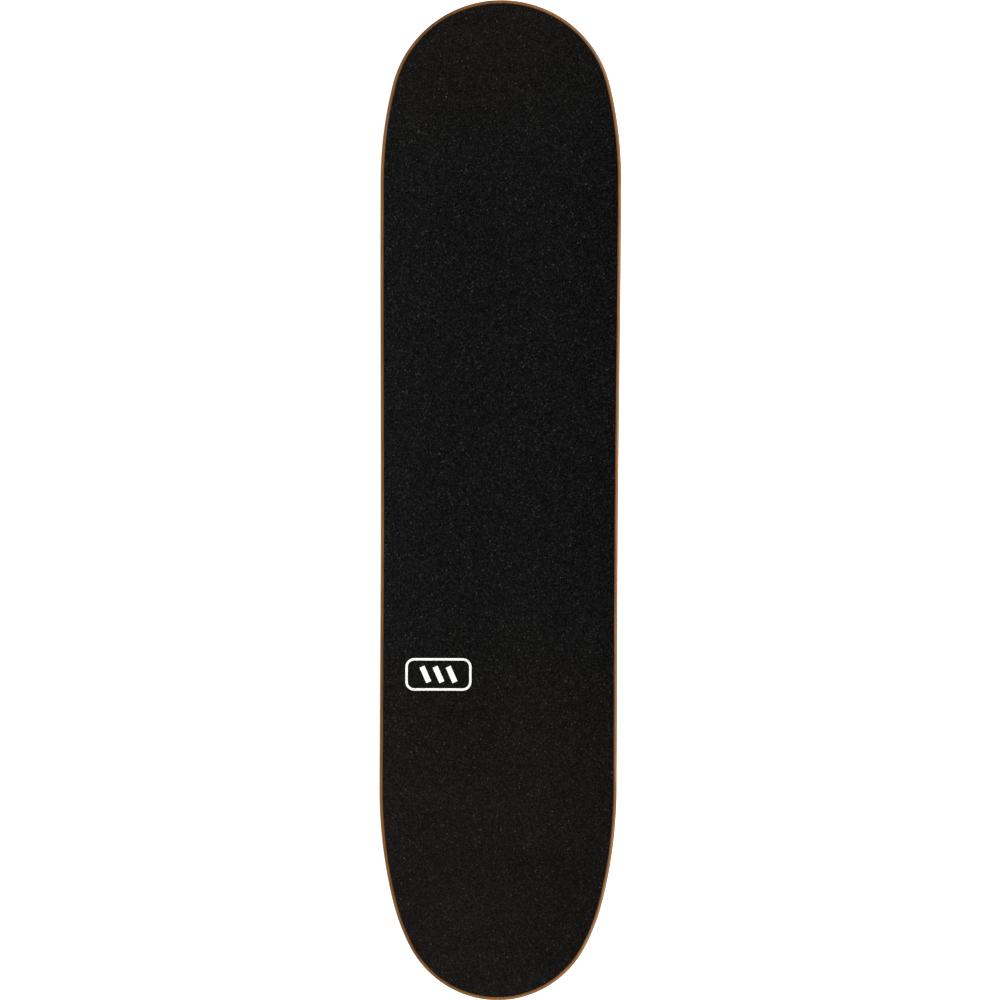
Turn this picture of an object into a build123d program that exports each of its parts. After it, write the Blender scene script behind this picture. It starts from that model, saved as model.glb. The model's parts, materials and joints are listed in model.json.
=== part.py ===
from build123d import *
from math import asin, cos, pi, radians, sin, sqrt
import os

# A street skateboard, in millimetres.
# +X points to the nose, +Y to the rider's left, +Z up. The origin lies on the ground under the
# middle of the deck's length and width.

# ---- driving dimensions: deck ----
DECK_LENGTH = 797.0
PLY_COUNT = 7
DECK_THICKNESS = 11.0
OUTER_PLY_INSET = 0.6
GRIP_INSET = 2.8
GRIP_THICKNESS = 0.9
NOSE_HALF_WIDTH = 96.8
WAIST_HALF_WIDTH = 95.25
TAIL_HALF_WIDTH = 95.4
WAIST_X = -60.0
# each end is a tip arc, a shoulder arc and a long flank arc: radius and the angle where it stops
NOSE_ARCS = ((92.5, 18.6), (88.5, 75.6))
TAIL_ARCS = ((79.5, 62.0), (162.0, 75.3))
CONCAVE_FLAT_HALF = 28.0
CONCAVE_RADIUS = 240.0
KICK_RADIUS = 130.0
NOSE_KICK_ANGLE = 21.0
TAIL_KICK_ANGLE = 20.0
KICK_AFTER_BOLTS = 12.0

# ---- driving dimensions: truck mounting ----
INNER_HOLE_WHEELBASE = 355.6
HOLE_PITCH_X = 53.98
HOLE_PITCH_Y = 41.28
TRUCKS_BACK = 5.0
BOLT_RADIUS = 2.4
BOLT_LENGTH = 25.4
BOLT_HEAD_RADIUS = 4.7
BOLT_HEAD_DEPTH = 2.3
BOLT_HEAD_BELOW_GRIP = 0.2
BOLT_HOLE_GAP = 0.2
DECK_NUT_ACROSS = 9.5
DECK_NUT_HEIGHT = 6.0
NUT_SEAT_RADIUS = 6.2

# ---- driving dimensions: truck ----
TRUCK_HEIGHT = 53.0
PLATE_LENGTH = 80.0
PLATE_WIDTH = 56.0
PLATE_THICKNESS = 6.0
PLATE_CORNER = 8.0
KINGPIN_ANGLE = 20.0
KINGPIN_TOP_X = 12.0
KINGPIN_RADIUS = 4.7
KINGPIN_HEAD = (3.2, 8.7)
KINGPIN_HEAD_ACROSS = 14.3
KINGPIN_END = 58.5
BOSS_RADIUS = 16.0
SEAT = 14.0
BOTTOM_WASHER_END = 15.4
BUSHING_BORE = 4.9
BUSHING_SPIGOT = 11.6
BARREL_RADIUS = 13.6
CONE_RADIUS = 12.4
RING_TOP = 27.4
RING_RECESS = 2.0
RING_BOTTOM = 37.4
TOP_BUSHING_END = 46.4
TOP_WASHER_END = 48.4
KINGPIN_NUT_END = 57.4
RING_RADIUS = 17.0
RING_BORE = 6.4
TOP_WASHER_RADIUS = 10.6
PIVOT_X = -26.0
PIVOT_DEPTH = 10.5
PIVOT_NOSE_RADIUS = 5.2
PIVOT_GAP = 0.1
PIVOT_CUP_BACK = -6.6
PIVOT_MOUTH = 3.0
PIVOT_CUP_RADIUS = 7.5
PIVOT_HOUSING_RADIUS = 10.5
HANGER_HALF_WIDTH = 62.5
AXLE_RADIUS = 3.96
AXLE_HALF_LENGTH = 96.5

# ---- driving dimensions: wheels and bearings ----
WHEEL_RADIUS = 26.0
WHEEL_WIDTH = 32.0
TREAD_WIDTH = 18.0
BEARING_BORE = 4.0
BEARING_RADIUS = 11.0
BEARING_WIDTH = 7.0
INNER_RING_RADIUS = 6.05
OUTER_RING_INSIDE = 8.95
SHIELD_SEAT_RADIUS = 9.4
BALL_COUNT = 7
BALL_RADIUS = 1.95
BALL_CIRCLE = 7.5
GROOVE_RADIUS = 2.04
SPACER_LENGTH = 10.0
SPACER_RADIUS = 5.2
SPEED_WASHER = 1.0
SPEED_WASHER_RADIUS = 5.6
AXLE_NUT_ACROSS = 12.7
AXLE_NUT_HEIGHT = 6.5
SLIP = 0.02

# ---- places worked out from them ----
HALF_LENGTH = DECK_LENGTH / 2
PLY = DECK_THICKNESS / PLY_COUNT
DECK_BOTTOM = WHEEL_RADIUS + TRUCK_HEIGHT
TRUCK_OFFSET = (INNER_HOLE_WHEELBASE + HOLE_PITCH_X) / 2
FRONT_TRUCK_X = TRUCK_OFFSET - TRUCKS_BACK
REAR_TRUCK_X = -TRUCK_OFFSET - TRUCKS_BACK
NOSE_KICK_X = FRONT_TRUCK_X + HOLE_PITCH_X / 2 + KICK_AFTER_BOLTS
TAIL_KICK_X = REAR_TRUCK_X - HOLE_PITCH_X / 2 - KICK_AFTER_BOLTS
INNER_BEARING = HANGER_HALF_WIDTH + SPEED_WASHER
OUTER_BEARING = INNER_BEARING + BEARING_WIDTH + SPACER_LENGTH
BEARINGS_END = OUTER_BEARING + BEARING_WIDTH
WHEEL_CENTRE = (INNER_BEARING + BEARINGS_END) / 2

# the kingpin leans back towards the middle of the board as it goes down
KINGPIN_DOWN = Vector(sin(radians(KINGPIN_ANGLE)), 0, -cos(radians(KINGPIN_ANGLE)))
KINGPIN_TOP = Vector(KINGPIN_TOP_X, 0, 0)
RING_CENTRE = KINGPIN_TOP + KINGPIN_DOWN * ((RING_TOP + RING_BOTTOM) / 2)
PIVOT_POINT = Vector(PIVOT_X, 0, -PIVOT_DEPTH)
LEAN_DIRECTION = (RING_CENTRE - PIVOT_POINT).normalized()
# frames whose +Z runs down the kingpin, along the lean axis and along the axle
KINGPIN_FRAME = Plane(origin=KINGPIN_TOP, x_dir=(0, 1, 0), z_dir=KINGPIN_DOWN)
LEAN_FRAME = Plane(origin=PIVOT_POINT, x_dir=(0, 1, 0), z_dir=LEAN_DIRECTION)
AXLE_FRAME = Plane(origin=(0, 0, -TRUCK_HEIGHT), x_dir=(1, 0, 0), z_dir=(0, 1, 0))


# ---- helpers ----
def turned(points):
    """The solid that a closed outline of (radius, height) points sweeps about +Z."""
    outline = Wire.make_polygon([(radius, 0, height) for radius, height in points])
    return revolve(Face(outline), Axis.Z, 360)


def tube(inside, outside, start, end):
    """A ring about +Z between two heights."""
    return turned([(inside, start), (outside, start), (outside, end), (inside, end)])


def rod(radius, start, end):
    """A cylinder along +Z between two heights."""
    return Solid.make_cylinder(radius, end - start, Plane(origin=(0, 0, start), z_dir=(0, 0, 1)))


def hexagon(across_flats, start, end):
    """A hexagonal prism along +Z with lightly turned-off corners."""
    corner = across_flats / sqrt(3)
    chamfer = 0.1 * across_flats
    face = RegularPolygon(corner, 6).face().moved(Location((0, 0, start)))
    prism = Solid.extrude(face, Vector(0, 0, end - start))
    turned_off = turned([(0, start), (corner - chamfer / 2, start), (corner + 0.1, start + chamfer / 2),
                         (corner + 0.1, end - chamfer / 2), (corner - chamfer / 2, end), (0, end)])
    return prism & turned_off


def lock_nut(across_flats, bore, start, end):
    """A hexagonal nut with a round collar that holds its nylon ring, along +Z."""
    shoulder = end - 0.25 * (end - start)
    collar = tube(bore, 0.43 * across_flats, shoulder, end)
    return (hexagon(across_flats, start, shoulder) - rod(bore, start, shoulder)) + collar


def prism_along_y(points, half_width, rounding):
    """A block of constant (x, z) outline, centred on y = 0, with its long edges rounded."""
    outline = Wire.make_polygon([(x, -half_width, z) for x, z in points])
    block = Solid.extrude(Face(outline), Vector(0, 2 * half_width, 0))
    return block.fillet(rounding, block.edges())


def save(shape, node):
    """Writes one node, which may be several separate solids."""
    solids = shape if isinstance(shape, list) else shape.solids()
    export_step(Compound(children=list(solids)), f"parts/{node}.step")


# ---- deck ----
def end_arcs(direction, half_width, arcs, inset):
    """The arcs of one end in plan, and the point where the last one runs into the side."""
    (tip_radius, tip_angle), (shoulder_radius, shoulder_angle) = arcs
    tip_radius -= inset
    shoulder_radius -= inset
    half_width -= inset
    tip_angle = radians(tip_angle)
    shoulder_angle = radians(shoulder_angle)
    tip_x = HALF_LENGTH - inset - tip_radius
    change = tip_radius - shoulder_radius
    shoulder = (tip_x + change * cos(tip_angle), change * sin(tip_angle))
    reach = half_width - shoulder[1] - shoulder_radius * sin(shoulder_angle)
    flank_radius = reach / (1 - sin(shoulder_angle))
    change = shoulder_radius - flank_radius
    flank = (shoulder[0] + change * cos(shoulder_angle), shoulder[1] + change * sin(shoulder_angle))

    def arc(centre, radius, start, stop, side):
        spots = [start, (start + stop) / 2, stop]
        return ThreePointArc(*[(direction * (centre[0] + radius * cos(a)),
                                side * (centre[1] + radius * sin(a))) for a in spots])

    edges = [arc((tip_x, 0), tip_radius, -tip_angle, tip_angle, 1)]
    for side in (1, -1):
        edges.append(arc(shoulder, shoulder_radius, tip_angle, shoulder_angle, side))
        edges.append(arc(flank, flank_radius, shoulder_angle, pi / 2, side))
    return edges, (direction * flank[0], half_width)


def deck_plan(inset=0.0):
    """The deck's outline seen from above, shrunk all round by inset."""
    nose_edges, nose_rail = end_arcs(1, NOSE_HALF_WIDTH, NOSE_ARCS, inset)
    tail_edges, tail_rail = end_arcs(-1, TAIL_HALF_WIDTH, TAIL_ARCS, inset)
    edges = nose_edges + tail_edges
    for side in (1, -1):
        through = [(x, side * y) for x, y in (nose_rail, (WAIST_X, WAIST_HALF_WIDTH - inset), tail_rail)]
        edges.append(Spline(*through, tangents=[(-1, 0), (-1, 0)]))
    return Face(Wire(edges))


def plan_prism(inset=0.0):
    """The outline as a tall upright prism that cuts sheets to shape."""
    return Solid.extrude(deck_plan(inset).moved(Location((0, 0, -DECK_BOTTOM))), Vector(0, 0, 4 * DECK_BOTTOM))


def sheet_section(low, high):
    """The cross-section of a pressed sheet: flat in the middle, curving up to both sides."""
    half_width = NOSE_HALF_WIDTH + 7
    full_angle = asin((half_width - CONCAVE_FLAT_HALF) / CONCAVE_RADIUS)

    def side_points(side, height):
        return [(0, side * (CONCAVE_FLAT_HALF + CONCAVE_RADIUS * sin(a)),
                 height + CONCAVE_RADIUS * (1 - cos(a))) for a in (0, full_angle / 2, full_angle)]

    low_right, low_left = side_points(-1, low), side_points(1, low)
    high_right, high_left = side_points(-1, high), side_points(1, high)
    return Face(Wire([
        ThreePointArc(*low_right), Line(low_right[0], low_left[0]), ThreePointArc(*low_left),
        Line(low_left[-1], high_left[-1]),
        ThreePointArc(*high_left), Line(high_left[0], high_right[0]), ThreePointArc(*high_right),
        Line(high_right[-1], low_right[-1]),
    ]))


def pressed_sheet(low, high):
    """A sheet between two heights above the deck's underside, bent up into both kicks."""
    section = sheet_section(low, high)
    stretches = []
    kicks = ((1, NOSE_KICK_X, NOSE_KICK_ANGLE), (-1, TAIL_KICK_X, TAIL_KICK_ANGLE))
    for direction, start, angle in kicks:
        at_start = section.moved(Location((start, 0, 0)))
        bend_axis = Axis((start, 0, KICK_RADIUS), (0, -direction, 0))
        along_kick = Vector(direction * cos(radians(angle)), 0, sin(radians(angle)))
        stretches.append(Solid.extrude(section, Vector(start, 0, 0)))
        stretches.append(revolve(at_start, bend_axis, angle))
        stretches.append(Solid.extrude(at_start.rotate(bend_axis, angle), along_kick * HALF_LENGTH / 2))
    sheet = stretches[0].fuse(*stretches[1:])
    return sheet.moved(Location((0, 0, DECK_BOTTOM)))


def bolt_places():
    """Where the eight mounting bolts stand, in plan."""
    return [(truck_x + x * HOLE_PITCH_X / 2, y * HOLE_PITCH_Y / 2)
            for truck_x in (FRONT_TRUCK_X, REAR_TRUCK_X) for x in (1, -1) for y in (1, -1)]


def bolt_shape(gap):
    """One countersunk bolt, head up, with its top at z = 0, grown sideways by gap."""
    shank = BOLT_RADIUS + gap
    head = BOLT_HEAD_RADIUS + gap
    top = BOLT_HEAD_BELOW_GRIP if gap else 0
    return turned([(0, top), (head, top), (head, -0.3), (shank, -BOLT_HEAD_DEPTH - gap),
                   (shank, -BOLT_LENGTH), (0, -BOLT_LENGTH)])


def bolt_top():
    return DECK_BOTTOM + DECK_THICKNESS - BOLT_HEAD_BELOW_GRIP


def deck_plies():
    """The veneers from the top one down, drilled and countersunk for the bolts."""
    full_plan = plan_prism()
    # the outermost veneers are cut back where the deck's edge is rounded over
    outer_plan = plan_prism(OUTER_PLY_INSET)
    holes = [bolt_shape(BOLT_HOLE_GAP).moved(Location((x, y, bolt_top()))) for x, y in bolt_places()]
    plies = []
    for number in range(PLY_COUNT):
        high = DECK_THICKNESS - number * PLY
        outermost = number in (0, PLY_COUNT - 1)
        ply = pressed_sheet(high - PLY, high) & (outer_plan if outermost else full_plan)
        plies.append(ply.cut(*holes))
    return plies


def grip_tape():
    return pressed_sheet(DECK_THICKNESS, DECK_THICKNESS + GRIP_THICKNESS) & plan_prism(GRIP_INSET)


def mounting_bolt():
    """A countersunk bolt with a cross-shaped driver recess."""
    recess_depth = 1.6
    recess = Box(5.0, 1.1, 2 * recess_depth) + Box(1.1, 5.0, 2 * recess_depth)
    return bolt_shape(0) - recess


def deck_bolts():
    return [mounting_bolt().moved(Location((x, y, bolt_top()))).solid() for x, y in bolt_places()]


def deck_nuts():
    start = PLATE_THICKNESS
    nut = lock_nut(DECK_NUT_ACROSS, BOLT_RADIUS + SLIP, start, start + DECK_NUT_HEIGHT).rotate(Axis.X, 180)
    return [nut.moved(Location((x, y, DECK_BOTTOM))).solid() for x, y in bolt_places()]


# ---- truck, in its own frame ----
# There z = 0 is the deck's underside over the axle and +X points to the middle of the board.
def below_deck(shape):
    """Cuts off whatever stands above the deck's underside."""
    room = Box(200, 200, 200, align=(Align.CENTER, Align.CENTER, Align.MAX))
    return shape & room


def baseplate():
    plate = extrude(RectangleRounded(PLATE_LENGTH, PLATE_WIDTH, PLATE_CORNER), -PLATE_THICKNESS)
    plate = plate.fillet(1.2, plate.faces().sort_by(Axis.Z)[0].edges())
    boss = turned([(0, -8), (BOSS_RADIUS + 4, -8), (BOSS_RADIUS + 4, 4), (BOSS_RADIUS, 10),
                   (BOSS_RADIUS, SEAT), (0, SEAT)]).moved(KINGPIN_FRAME.location)
    housing = rod(PIVOT_HOUSING_RADIUS, PIVOT_CUP_BACK - 2.5, PIVOT_MOUTH)
    housing = housing.fillet(2.5, [housing.edges().sort_by(Axis.Z)[0]]).moved(LEAN_FRAME.location)
    cheeks = prism_along_y([(-37, -1), (-37, -12), (-33, -18), (-25.5, -18), (-22, -9), (-14, -6.5),
                            (-14, -1)], 8.0, 0.8)
    body = below_deck(plate + boss + housing + cheeks)
    body -= rod(PIVOT_CUP_RADIUS, PIVOT_CUP_BACK, PIVOT_MOUTH + 9).moved(LEAN_FRAME.location)
    body -= rod(KINGPIN_RADIUS + SLIP, 0, SEAT + 1).moved(KINGPIN_FRAME.location)
    body -= hexagon(KINGPIN_HEAD_ACROSS + BOLT_HOLE_GAP, -8, KINGPIN_HEAD[1]).moved(KINGPIN_FRAME.location)
    for x in (1, -1):
        for y in (1, -1):
            place = Location((x * HOLE_PITCH_X / 2, y * HOLE_PITCH_Y / 2, 0))
            body -= rod(BOLT_RADIUS + BOLT_HOLE_GAP, -30, 1).moved(place)
            # a flat seat for the nut
            body -= rod(NUT_SEAT_RADIUS, -30, -PLATE_THICKNESS).moved(place)
    return body


def pivot_cup():
    """The urethane socket that the hanger's nose turns in."""
    outside = PIVOT_CUP_RADIUS - SLIP
    bore = PIVOT_NOSE_RADIUS + PIVOT_GAP
    back = PIVOT_CUP_BACK + SLIP
    floor = PIVOT_CUP_BACK + 1.2
    return turned([(0, back), (outside, back), (outside, PIVOT_MOUTH), (bore, PIVOT_MOUTH), (bore, floor),
                   (0, floor)]).moved(LEAN_FRAME.location)


def kingpin():
    bolt = hexagon(KINGPIN_HEAD_ACROSS, *KINGPIN_HEAD) + rod(KINGPIN_RADIUS, KINGPIN_HEAD[1], KINGPIN_END)
    end = bolt.edges().sort_by(Axis.Z)[-1]
    return bolt.chamfer(0.8, None, [end]).moved(KINGPIN_FRAME.location)


def kingpin_nut():
    nut = lock_nut(KINGPIN_HEAD_ACROSS, KINGPIN_RADIUS + SLIP, TOP_WASHER_END, KINGPIN_NUT_END)
    return nut.moved(KINGPIN_FRAME.location)


def bottom_washer():
    """A cupped washer whose lip holds the bushing."""
    lip = SEAT + 2.6
    return turned([(BUSHING_BORE, SEAT), (14.6, SEAT), (15.2, lip), (14.2, lip), (13.9, BOTTOM_WASHER_END),
                   (BUSHING_BORE, BOTTOM_WASHER_END)]).moved(KINGPIN_FRAME.location)


def bottom_bushing():
    """The barrel-shaped bushing between the baseplate and the hanger."""
    start = BOTTOM_WASHER_END
    ring = RING_TOP - SLIP
    return turned([(BUSHING_BORE, start), (BARREL_RADIUS - 1, start), (BARREL_RADIUS, start + 1.5),
                   (BARREL_RADIUS, ring - 1.5), (BARREL_RADIUS - 0.7, ring), (BUSHING_SPIGOT, ring),
                   (BUSHING_SPIGOT, ring + RING_RECESS), (BUSHING_BORE, ring + RING_RECESS)]
                  ).moved(KINGPIN_FRAME.location)


def top_bushing():
    """The cone-shaped bushing between the hanger and the kingpin nut."""
    ring = RING_BOTTOM + SLIP
    return turned([(BUSHING_BORE, ring - RING_RECESS), (BUSHING_SPIGOT, ring - RING_RECESS),
                   (BUSHING_SPIGOT, ring), (CONE_RADIUS, ring), (CONE_RADIUS, ring + 1.5),
                   (9.2, TOP_BUSHING_END), (BUSHING_BORE, TOP_BUSHING_END)]).moved(KINGPIN_FRAME.location)


def top_washer():
    washer = tube(BUSHING_BORE, TOP_WASHER_RADIUS, TOP_BUSHING_END, TOP_WASHER_END)
    return washer.moved(KINGPIN_FRAME.location)


def hanger():
    """The casting that carries the axle: beam, wings, yoke, bushing ring and pivot nose."""
    end_radius = 8.0
    beam_points = [(0, -HANGER_HALF_WIDTH), (end_radius - 1, -HANGER_HALF_WIDTH),
                   (end_radius, 1 - HANGER_HALF_WIDTH), (end_radius, -44), (10, -26), (10, 26),
                   (end_radius, 44), (end_radius, HANGER_HALF_WIDTH - 1),
                   (end_radius - 1, HANGER_HALF_WIDTH), (0, HANGER_HALF_WIDTH)]
    beam = turned(beam_points).moved(AXLE_FRAME.location)
    wing_points = [(-14, -37), (-27, -44), (-46, -50), (-46, -56), (46, -56), (46, -50), (27, -44), (14, -37)]
    wings = Solid.extrude(Face(Wire.make_polygon([(-5.5, y, z) for y, z in wing_points])), Vector(11, 0, 0))
    wings = wings.fillet(2.0, wings.edges())
    arm = prism_along_y([(-8.0, -10.6), (-4.0, -17.5), (3.5, -29.5), (11, -33), (13, -42), (6, -52),
                         (-7, -52), (-10.5, -42), (-11.5, -32), (-14.0, -22)], 7.0, 2.0)
    yoke = prism_along_y([(0.5, -28.5), (4.5, -30.5), (11, -33), (14, -38), (10, -47), (8, -54),
                          (-8, -54), (-9.5, -42), (-6.5, -33)], 14.0, 2.0)
    ring = rod(RING_RADIUS, RING_TOP, RING_BOTTOM)
    ring = ring.fillet(1.5, ring.edges().filter_by(GeomType.CIRCLE)).moved(KINGPIN_FRAME.location)
    nose = turned([(0, -5), (3.2, -5), (PIVOT_NOSE_RADIUS, -3), (PIVOT_NOSE_RADIUS, 9), (6.8, 15),
                   (6.8, 19), (0, 19)]).moved(LEAN_FRAME.location)
    body = beam + wings + arm + yoke + ring + nose
    body -= rod(AXLE_RADIUS + SLIP, -AXLE_HALF_LENGTH, AXLE_HALF_LENGTH).moved(AXLE_FRAME.location)
    body -= rod(RING_BORE, RING_TOP - 2, RING_BOTTOM + 2).moved(KINGPIN_FRAME.location)
    # a seat for each bushing in the ring, and room for it outside the ring
    seat = BUSHING_SPIGOT + 0.2
    for start, end, radius in ((RING_TOP - 12, RING_TOP, BARREL_RADIUS + 1.4),
                               (RING_TOP - 1, RING_TOP + RING_RECESS, seat),
                               (RING_BOTTOM - RING_RECESS, RING_BOTTOM + 1, seat),
                               (RING_BOTTOM, RING_BOTTOM + 12, CONE_RADIUS + 1.2)):
        body -= rod(radius, start, end).moved(KINGPIN_FRAME.location)
    return body


def axle():
    bar = rod(AXLE_RADIUS, -AXLE_HALF_LENGTH, AXLE_HALF_LENGTH)
    return bar.chamfer(0.8, None, bar.edges().filter_by(GeomType.CIRCLE)).moved(AXLE_FRAME.location)


def both_ends(shape):
    """A piece on the axle's +Y end and its twin on the -Y end."""
    placed = shape.moved(AXLE_FRAME.location)
    return [placed.solid(), placed.rotate(Axis.Z, 180).solid()]


def axle_nuts():
    start = BEARINGS_END + SPEED_WASHER
    return both_ends(lock_nut(AXLE_NUT_ACROSS, AXLE_RADIUS + SLIP, start, start + AXLE_NUT_HEIGHT))


def speed_washers():
    starts = (HANGER_HALF_WIDTH, BEARINGS_END)
    return [piece for start in starts
            for piece in both_ends(tube(BEARING_BORE, SPEED_WASHER_RADIUS, start, start + SPEED_WASHER))]


def bearing_spacers():
    start = INNER_BEARING + BEARING_WIDTH
    return both_ends(tube(BEARING_BORE, SPACER_RADIUS, start, start + SPACER_LENGTH))


# ---- bearings and wheels, along the axle ----
def bearing_starts():
    return (INNER_BEARING, OUTER_BEARING)


def ball_groove():
    """The tube-shaped path that the balls run in."""
    return Solid.make_torus(BALL_CIRCLE, GROOVE_RADIUS)


def inner_ring():
    half = BEARING_WIDTH / 2
    ring = turned([(BEARING_BORE, -half + 0.3), (BEARING_BORE + 0.3, -half), (INNER_RING_RADIUS, -half),
                   (INNER_RING_RADIUS, half), (BEARING_BORE + 0.3, half), (BEARING_BORE, half - 0.3)])
    return ring - ball_groove()


def outer_ring():
    half = BEARING_WIDTH / 2
    ring = turned([(OUTER_RING_INSIDE, -half), (BEARING_RADIUS - 0.3, -half), (BEARING_RADIUS, -half + 0.3),
                   (BEARING_RADIUS, half - 0.3), (BEARING_RADIUS - 0.3, half), (OUTER_RING_INSIDE, half)])
    # a step at each face seats a shield
    for start, end in ((-half, -half + 0.6), (half - 0.6, half)):
        ring -= tube(OUTER_RING_INSIDE - 1, SHIELD_SEAT_RADIUS, start, end)
    return ring - ball_groove()


def shields():
    """The two rings that close one bearing between its rings."""
    half = BEARING_WIDTH / 2
    return [tube(INNER_RING_RADIUS + 0.15, SHIELD_SEAT_RADIUS - SLIP, start, start + 0.4)
            for start in (-half + 0.15, half - 0.55)]


def ball_places():
    return [Location((BALL_CIRCLE * cos(2 * pi * i / BALL_COUNT), BALL_CIRCLE * sin(2 * pi * i / BALL_COUNT), 0))
            for i in range(BALL_COUNT)]


def balls():
    return [Solid.make_sphere(BALL_RADIUS, angle1=-90, angle2=90).moved(place) for place in ball_places()]


def cage():
    """A crown: a thin ring on one side of the balls with a pocket round each."""
    crown = tube(6.7, 8.3, -2.6, 0.4)
    pocket = Solid.make_sphere(BALL_RADIUS + 0.12, angle1=-90, angle2=90)
    for place in ball_places():
        crown -= pocket.moved(place)
    return crown


def in_both_bearings(pieces):
    """Copies of one bearing's pieces at the middle of each bearing of a wheel."""
    return [piece.moved(Location((0, 0, start + BEARING_WIDTH / 2))) for start in bearing_starts()
            for piece in pieces]


def wheel():
    """The tyre: a flat tread, rounded lips, dished sides and a seat for each bearing."""
    side = WHEEL_WIDTH / 2
    lip = (WHEEL_WIDTH - TREAD_WIDTH) / 2
    seat = BEARINGS_END - WHEEL_CENTRE
    stop = SPACER_LENGTH / 2
    bore = BEARING_RADIUS + SLIP
    diagonal = lip * (1 - cos(pi / 4))

    def half(direction):
        return [(9.8, direction * stop), (bore, direction * stop), (bore, direction * (seat + 0.6)),
                (12.2, direction * (seat + 1.2)), (16.5, direction * side)]

    low, high = half(-1), half(1)
    flat = WHEEL_RADIUS - lip

    def at(point):
        return (point[0], 0, point[1])

    edges = [Line(at(a), at(b)) for a, b in zip(low, low[1:])]
    edges += [Line(at(a), at(b)) for a, b in zip(high, high[1:])]
    for direction, last in ((-1, low[-1]), (1, high[-1])):
        edges.append(Line(at(last), (flat, 0, direction * side)))
        edges.append(ThreePointArc((flat, 0, direction * side),
                                   (WHEEL_RADIUS - diagonal, 0, direction * (side - diagonal)),
                                   (WHEEL_RADIUS, 0, direction * (side - lip))))
    edges.append(Line((WHEEL_RADIUS, 0, lip - side), (WHEEL_RADIUS, 0, side - lip)))
    edges.append(Line(at(low[0]), at(high[0])))
    return revolve(Face(Wire(edges)), Axis.Z, 360).moved(Location((0, 0, WHEEL_CENTRE)))


# ---- assembly ----
def truck_places():
    """Each truck's name and its place, with +X of its own frame towards the middle of the board."""
    return (("front", Location((FRONT_TRUCK_X, 0, DECK_BOTTOM), (0, 0, 180))),
            ("rear", Location((REAR_TRUCK_X, 0, DECK_BOTTOM))))


def place_all(pieces, place):
    pieces = pieces if isinstance(pieces, list) else pieces.solids()
    return [piece.moved(place) for piece in pieces]


def write_deck():
    for number, ply in enumerate(deck_plies(), 1):
        save(ply, f"ply_{number}")
    save(grip_tape(), "grip_tape")
    save(deck_bolts(), "deck_bolts")
    save(deck_nuts(), "deck_nuts")


def write_trucks():
    inner_rings = in_both_bearings([inner_ring()])
    inner_rings = [piece for ring in inner_rings for piece in both_ends(ring)]
    pieces = {
        "baseplate": baseplate(), "pivot_cup": pivot_cup(), "kingpin": kingpin(),
        "kingpin_nut": kingpin_nut(), "bottom_washer": bottom_washer(), "bottom_bushing": bottom_bushing(),
        "top_bushing": top_bushing(), "top_washer": top_washer(), "hanger": hanger(), "axle": axle(),
        "axle_nuts": axle_nuts(), "speed_washers": speed_washers(), "bearing_spacers": bearing_spacers(),
        "bearing_inner_rings": inner_rings,
    }
    for end, place in truck_places():
        for name, piece in pieces.items():
            save(place_all(piece, place), f"{end}_{name}")


def write_wheels():
    pieces = {
        "wheel": [wheel()], "bearing_outer_rings": in_both_bearings([outer_ring()]),
        "bearing_shields": in_both_bearings(shields()), "bearing_balls": in_both_bearings(balls()),
        "bearing_cages": in_both_bearings([cage()]),
    }
    for end, place in truck_places():
        for side in ("left", "right"):
            # the front truck is turned round, so its own +Y end is on the right
            turn = 0 if (end == "rear") == (side == "left") else 180
            for name, solids in pieces.items():
                on_axle = [piece.moved(AXLE_FRAME.location).rotate(Axis.Z, turn) for piece in solids]
                save(place_all([piece.solid() for piece in on_axle], place), f"{end}_{side}_{name}")


os.makedirs("parts", exist_ok=True)
write_deck()
write_trucks()
write_wheels()
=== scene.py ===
import json
from math import cos, pi, radians, sin, sqrt, tan

import bmesh
import bpy
from mathutils import Matrix, Vector


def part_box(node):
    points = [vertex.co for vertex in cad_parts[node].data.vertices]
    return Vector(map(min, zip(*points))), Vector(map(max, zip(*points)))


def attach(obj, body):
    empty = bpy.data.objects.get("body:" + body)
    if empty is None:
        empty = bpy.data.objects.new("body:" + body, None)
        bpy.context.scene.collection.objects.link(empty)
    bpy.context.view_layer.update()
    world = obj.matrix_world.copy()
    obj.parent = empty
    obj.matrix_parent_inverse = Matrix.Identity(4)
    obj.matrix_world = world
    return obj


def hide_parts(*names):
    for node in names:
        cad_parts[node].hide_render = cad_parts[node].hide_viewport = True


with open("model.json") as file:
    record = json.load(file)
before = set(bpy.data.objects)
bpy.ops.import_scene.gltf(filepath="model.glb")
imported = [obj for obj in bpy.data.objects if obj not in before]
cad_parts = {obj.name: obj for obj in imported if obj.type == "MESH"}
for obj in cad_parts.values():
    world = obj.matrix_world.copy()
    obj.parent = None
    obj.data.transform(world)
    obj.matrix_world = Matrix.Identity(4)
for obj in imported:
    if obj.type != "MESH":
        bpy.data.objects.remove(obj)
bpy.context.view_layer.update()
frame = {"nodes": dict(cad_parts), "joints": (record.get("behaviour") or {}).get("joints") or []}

MM = 0.001
ENDS = ("front", "rear")
SIDES = ("left", "right")

# ---- sizes that the frame gives ----
joints = {joint["name"]: joint for joint in frame["joints"]}


def middle(node):
    low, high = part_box(node)
    return (low + high) / 2


def axle_centre(end):
    return middle(f"{end}_axle")


PLY_COUNT = 7
DECK_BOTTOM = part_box(f"ply_{PLY_COUNT}")[0].z
PLY = (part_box("ply_1")[0].z - DECK_BOTTOM) / (PLY_COUNT - 1)
DECK_THICKNESS = PLY * PLY_COUNT
# the second ply is cut to the full outline, and the outer ones are a little smaller
HALF_LENGTH = (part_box("ply_2")[1].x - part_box("ply_2")[0].x) / 2

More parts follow.
